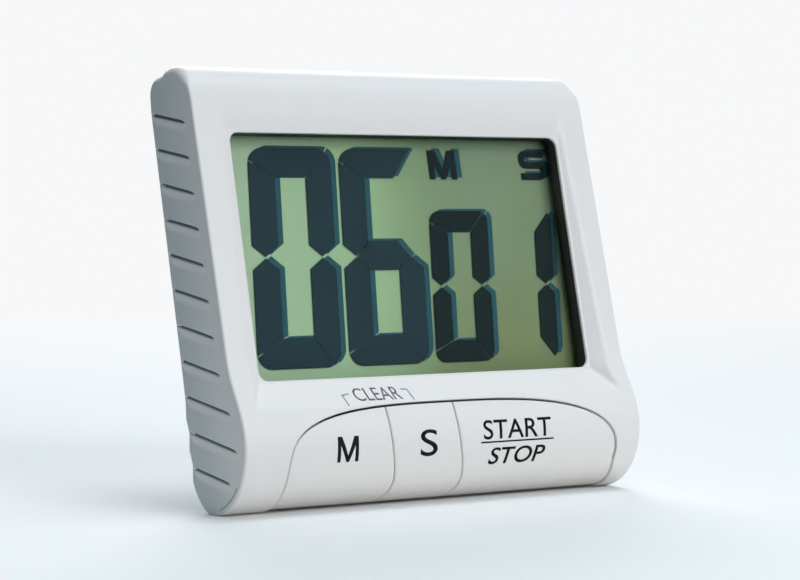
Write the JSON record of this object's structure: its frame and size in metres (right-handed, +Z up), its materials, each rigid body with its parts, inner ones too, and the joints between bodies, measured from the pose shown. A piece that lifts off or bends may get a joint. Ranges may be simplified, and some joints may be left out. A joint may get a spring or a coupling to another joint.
{
  "type": "digital timer",
  "caption": "Desk and magnetic digital countdown timer with a large numeric display, three curved keys, a fold-out stand and a battery lid.",
  "frame": {"origin": "centre of the timer's bounding box in plan, on the floor that the case and the open stand rest on", "axes": "+Z up, -Y towards the viewer in front of the display, +X to the viewer's right; the case leans back by 13.4 degrees"},
  "size_m": [0.084, 0.0354, 0.0758],
  "materials": {
    "white_plastic": "satin moulded white ABS with a fine grain",
    "key_plastic": "satin moulded ABS, slightly warmer and duller than the case",
    "black_plastic": "black moulded plastic and chip epoxy",
    "clear_acrylic": "clear polished acrylic",
    "cell_glass": "thin glass of the liquid crystal cell",
    "reflector": "green-grey reflective film",
    "display_ink": "dark lit segments on a clear film",
    "grey_rubber": "layered elastic connector",
    "translucent_rubber": "milky silicone rubber",
    "carbon_rubber": "conductive carbon rubber",
    "board": "green solder mask on glass fibre board",
    "steel": "nickel plated steel",
    "chip_tan": "ceramic chip parts",
    "black_insulation": "black wire insulation",
    "red_insulation": "red wire insulation",
    "flat_jumper": "grey flat jumper",
    "battery_jacket": null,
    "ferrite": "dark sintered ferrite",
    "brass": "brass disc of the piezo buzzer"
  },
  "bodies": {
    "case": {"front_case": "white_plastic", "rear_case": "white_plastic", "display_bezel": "black_plastic", "display_window": "clear_acrylic", "lcd_front_glass": "cell_glass", "lcd_rear_glass": "cell_glass", "lcd_reflector": "reflector", "lcd_segments": "display_ink", "zebra_strip": "grey_rubber", "rubber_keypad": "translucent_rubber", "minutes_carbon_pill": "carbon_rubber", "seconds_carbon_pill": "carbon_rubber", "start_stop_carbon_pill": "carbon_rubber", "key_board": "board", "main_board": "board", "chip_blob": "black_plastic", "crystal": "steel", "resistor": "chip_tan", "capacitor": "chip_tan", "transistor": "chip_tan", "board_screw_1": "steel", "board_screw_2": "steel", "board_screw_3": "steel", "board_screw_4": "steel", "case_screw_1": "steel", "case_screw_2": "steel", "case_screw_3": "steel", "case_screw_4": "steel", "battery_lead_black": "black_insulation", "battery_lead_red": "red_insulation", "buzzer_lead_left": "red_insulation", "buzzer_lead_right": "black_insulation", "key_ribbon": "flat_jumper", "battery": "battery_jacket", "battery_spring": "steel", "battery_contact": "steel", "stand_pin_left": "steel", "stand_pin_right": "steel", "left_magnet": "ferrite", "right_magnet": "ferrite", "piezo_buzzer": "brass"},
    "minutes_key": {"minutes_key": "key_plastic"},
    "seconds_key": {"seconds_key": "key_plastic"},
    "start_stop_key": {"start_stop_key": "key_plastic"},
    "stand": {"stand": "white_plastic"},
    "battery_lid": {"battery_lid": "white_plastic"}
  },
  "joints": [
    {"name": "minutes_slide", "type": "slide", "parent": "case", "child": "minutes_key", "axis": [0, 0.9728, -0.2317], "range_m": [0, 0.0008], "stiffness_N_per_m": 1200, "springref_m": -0.0003, "deforming": ["rubber_keypad"]},
    {"name": "seconds_slide", "type": "slide", "parent": "case", "child": "seconds_key", "axis": [0, 0.9728, -0.2317], "range_m": [0, 0.0008], "stiffness_N_per_m": 1200, "springref_m": -0.0003, "deforming": ["rubber_keypad"]},
    {"name": "start_stop_slide", "type": "slide", "parent": "case", "child": "start_stop_key", "axis": [0, 0.9728, -0.2317], "range_m": [0, 0.0008], "stiffness_N_per_m": 1200, "springref_m": -0.0003, "deforming": ["rubber_keypad"]},
    {"name": "stand_hinge", "type": "hinge", "parent": "case", "child": "stand", "pos_m": [0, 0.00188, 0.02077], "axis": [1, 0, 0], "range_deg": [0, 129.3]},
    {"name": "lid_hinge", "type": "hinge", "parent": "case", "child": "battery_lid", "pos_m": [0, -0.00127, 0.00497], "axis": [-1, 0, 0], "range_deg": [0, 80]}
  ]
}
